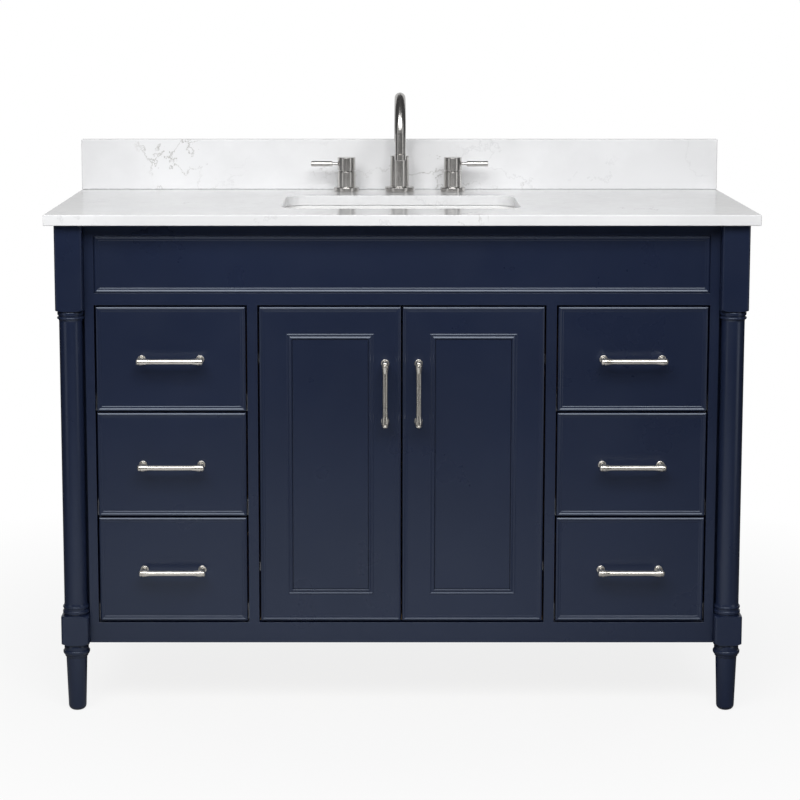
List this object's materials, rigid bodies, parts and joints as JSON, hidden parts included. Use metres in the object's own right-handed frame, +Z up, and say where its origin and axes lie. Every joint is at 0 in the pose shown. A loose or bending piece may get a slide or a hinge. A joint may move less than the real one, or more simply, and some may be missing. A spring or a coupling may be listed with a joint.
{
  "type": "bathroom vanity cabinet",
  "caption": "Bathroom vanity on turned legs: painted cabinet with hinged doors and sliding drawers, stone top with backsplash, undermount basin and gooseneck faucet.",
  "frame": {"origin": "on the floor under the middle of the countertop's plan", "axes": "+Z up, the front of the cabinet faces -Y, +X to the right seen from the front"},
  "size_m": [1.2446, 0.5588, 1.0887],
  "materials": {
    "navy_paint": "satin navy paint on solid wood",
    "inner_panel": "clear-coated plywood",
    "birch_ply": "clear-coated birch plywood",
    "quartz_top": "polished white quartz with faint grey veins",
    "porcelain": "white glaze",
    "brushed_nickel": "brushed nickel",
    "satin_nickel": "satin nickel",
    "zinc_steel": "zinc-plated steel"
  },
  "bodies": {
    "cabinet": {"face_frame": "navy_paint", "apron_panel": "navy_paint", "side_panel_left": "navy_paint", "side_panel_right": "navy_paint", "partition_left": "inner_panel", "partition_right": "inner_panel", "bottom_panel": "inner_panel", "back_panel": "inner_panel", "leg_front_left": "navy_paint", "leg_front_right": "navy_paint", "leg_back_left": "navy_paint", "leg_back_right": "navy_paint", "countertop": "quartz_top", "backsplash": "quartz_top", "sink_basin": "porcelain", "sink_drain": "brushed_nickel", "faucet_body": "brushed_nickel", "valve_body_left": "brushed_nickel", "valve_body_right": "brushed_nickel", "hinge_arm_left_upper": "zinc_steel", "hinge_arm_left_lower": "zinc_steel", "hinge_arm_right_upper": "zinc_steel", "hinge_arm_right_lower": "zinc_steel", "drawer_runner_left_top": "zinc_steel", "drawer_runner_left_middle": "zinc_steel", "drawer_runner_left_bottom": "zinc_steel", "drawer_runner_right_top": "zinc_steel", "drawer_runner_right_middle": "zinc_steel", "drawer_runner_right_bottom": "zinc_steel"},
    "door_left": {"door_frame_left": "navy_paint", "door_panel_left": "navy_paint", "door_pull_left": "satin_nickel", "hinge_cup_left_upper": "zinc_steel", "hinge_cup_left_lower": "zinc_steel"},
    "door_right": {"door_frame_right": "navy_paint", "door_panel_right": "navy_paint", "door_pull_right": "satin_nickel", "hinge_cup_right_upper": "zinc_steel", "hinge_cup_right_lower": "zinc_steel"},
    "drawer_left_top": {"drawer_front_left_top": "navy_paint", "drawer_box_left_top": "birch_ply", "drawer_pull_left_top": "satin_nickel"},
    "drawer_left_middle": {"drawer_front_left_middle": "navy_paint", "drawer_box_left_middle": "birch_ply", "drawer_pull_left_middle": "satin_nickel"},
    "drawer_left_bottom": {"drawer_front_left_bottom": "navy_paint", "drawer_box_left_bottom": "birch_ply", "drawer_pull_left_bottom": "satin_nickel"},
    "drawer_right_top": {"drawer_front_right_top": "navy_paint", "drawer_box_right_top": "birch_ply", "drawer_pull_right_top": "satin_nickel"},
    "drawer_right_middle": {"drawer_front_right_middle": "navy_paint", "drawer_box_right_middle": "birch_ply", "drawer_pull_right_middle": "satin_nickel"},
    "drawer_right_bottom": {"drawer_front_right_bottom": "navy_paint", "drawer_box_right_bottom": "birch_ply", "drawer_pull_right_bottom": "satin_nickel"},
    "lever_left": {"faucet_lever_left": "brushed_nickel"},
    "lever_right": {"faucet_lever_right": "brushed_nickel"},
    "spout": {"faucet_spout": "brushed_nickel"}
  },
  "joints": [
    {"name": "door_hinge_left", "type": "hinge", "parent": "cabinet", "child": "door_left", "pos_m": [-0.2512, -0.2402, 0.4458], "axis": [0, 0, 1], "range_deg": [-105, 0]},
    {"name": "door_hinge_right", "type": "hinge", "parent": "cabinet", "child": "door_right", "pos_m": [0.2512, -0.2402, 0.4458], "axis": [0, 0, -1], "range_deg": [-105, 0]},
    {"name": "drawer_slide_left_top", "type": "slide", "parent": "cabinet", "child": "drawer_left_top", "axis": [0, -1, 0], "range_m": [0, 0.35]},
    {"name": "drawer_slide_left_middle", "type": "slide", "parent": "cabinet", "child": "drawer_left_middle", "axis": [0, -1, 0], "range_m": [0, 0.35]},
    {"name": "drawer_slide_left_bottom", "type": "slide", "parent": "cabinet", "child": "drawer_left_bottom", "axis": [0, -1, 0], "range_m": [0, 0.35]},
    {"name": "drawer_slide_right_top", "type": "slide", "parent": "cabinet", "child": "drawer_right_top", "axis": [0, -1, 0], "range_m": [0, 0.35]},
    {"name": "drawer_slide_right_middle", "type": "slide", "parent": "cabinet", "child": "drawer_right_middle", "axis": [0, -1, 0], "range_m": [0, 0.35]},
    {"name": "drawer_slide_right_bottom", "type": "slide", "parent": "cabinet", "child": "drawer_right_bottom", "axis": [0, -1, 0], "range_m": [0, 0.35]},
    {"name": "lever_turn_left", "type": "hinge", "parent": "cabinet", "child": "lever_left", "pos_m": [-0.103, 0.214, 0.9485], "axis": [0, 0, 1], "range_deg": [0, 90]},
    {"name": "lever_turn_right", "type": "hinge", "parent": "cabinet", "child": "lever_right", "pos_m": [0.103, 0.214, 0.9485], "axis": [0, 0, -1], "range_deg": [0, 90]},
    {"name": "spout_swivel", "type": "hinge", "parent": "cabinet", "child": "spout", "pos_m": [0, 0.214, 0.964], "axis": [0, 0, 1], "range_deg": [-60, 60]}
  ]
}
